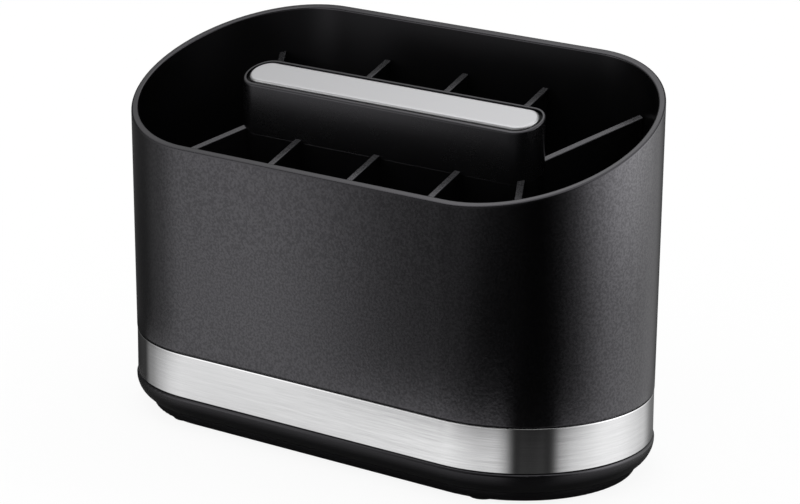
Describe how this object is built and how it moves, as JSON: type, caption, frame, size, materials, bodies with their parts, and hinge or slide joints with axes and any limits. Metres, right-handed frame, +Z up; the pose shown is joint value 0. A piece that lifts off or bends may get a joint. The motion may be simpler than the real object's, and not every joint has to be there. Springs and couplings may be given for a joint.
{
  "type": "kitchen utensil holder",
  "caption": "Oblong countertop bin with a slanted mouth, a steel band round its foot and a lift-out divider insert with a steel-capped handle.",
  "frame": {"origin": "under the middle of the oblong plan, on the plane that the feet rest on", "axes": "+X along the length, +Y from the low front to the high rear, +Z up"},
  "size_m": [0.24, 0.11, 0.1601],
  "materials": {
    "shell_black": "fine moulded grain, matt",
    "band_steel": "brushed along its length",
    "base_black": "smooth satin",
    "screw_steel": "zinc plated",
    "foot_rubber": "matt",
    "insert_black": "smooth satin",
    "handle_black": "fine moulded grain, matt",
    "pad_foam": "closed-cell foam",
    "plate_steel": "fine satin"
  },
  "bodies": {
    "holder": {"outer_shell": "shell_black", "steel_band": "band_steel", "base_tray": "base_black", "base_screws": "screw_steel", "foot_front_left": "foot_rubber", "foot_front_right": "foot_rubber", "foot_rear_left": "foot_rubber", "foot_rear_right": "foot_rubber"},
    "insert": {"divider_insert": "insert_black", "handle_shell": "handle_black", "handle_screws": "screw_steel", "plate_adhesive_pad": "pad_foam", "handle_plate": "plate_steel"}
  },
  "joints": [
    {"name": "insert_lift", "type": "slide", "parent": "holder", "child": "insert", "axis": [0, 0, 1], "range_m": [0, 0.15]}
  ]
}
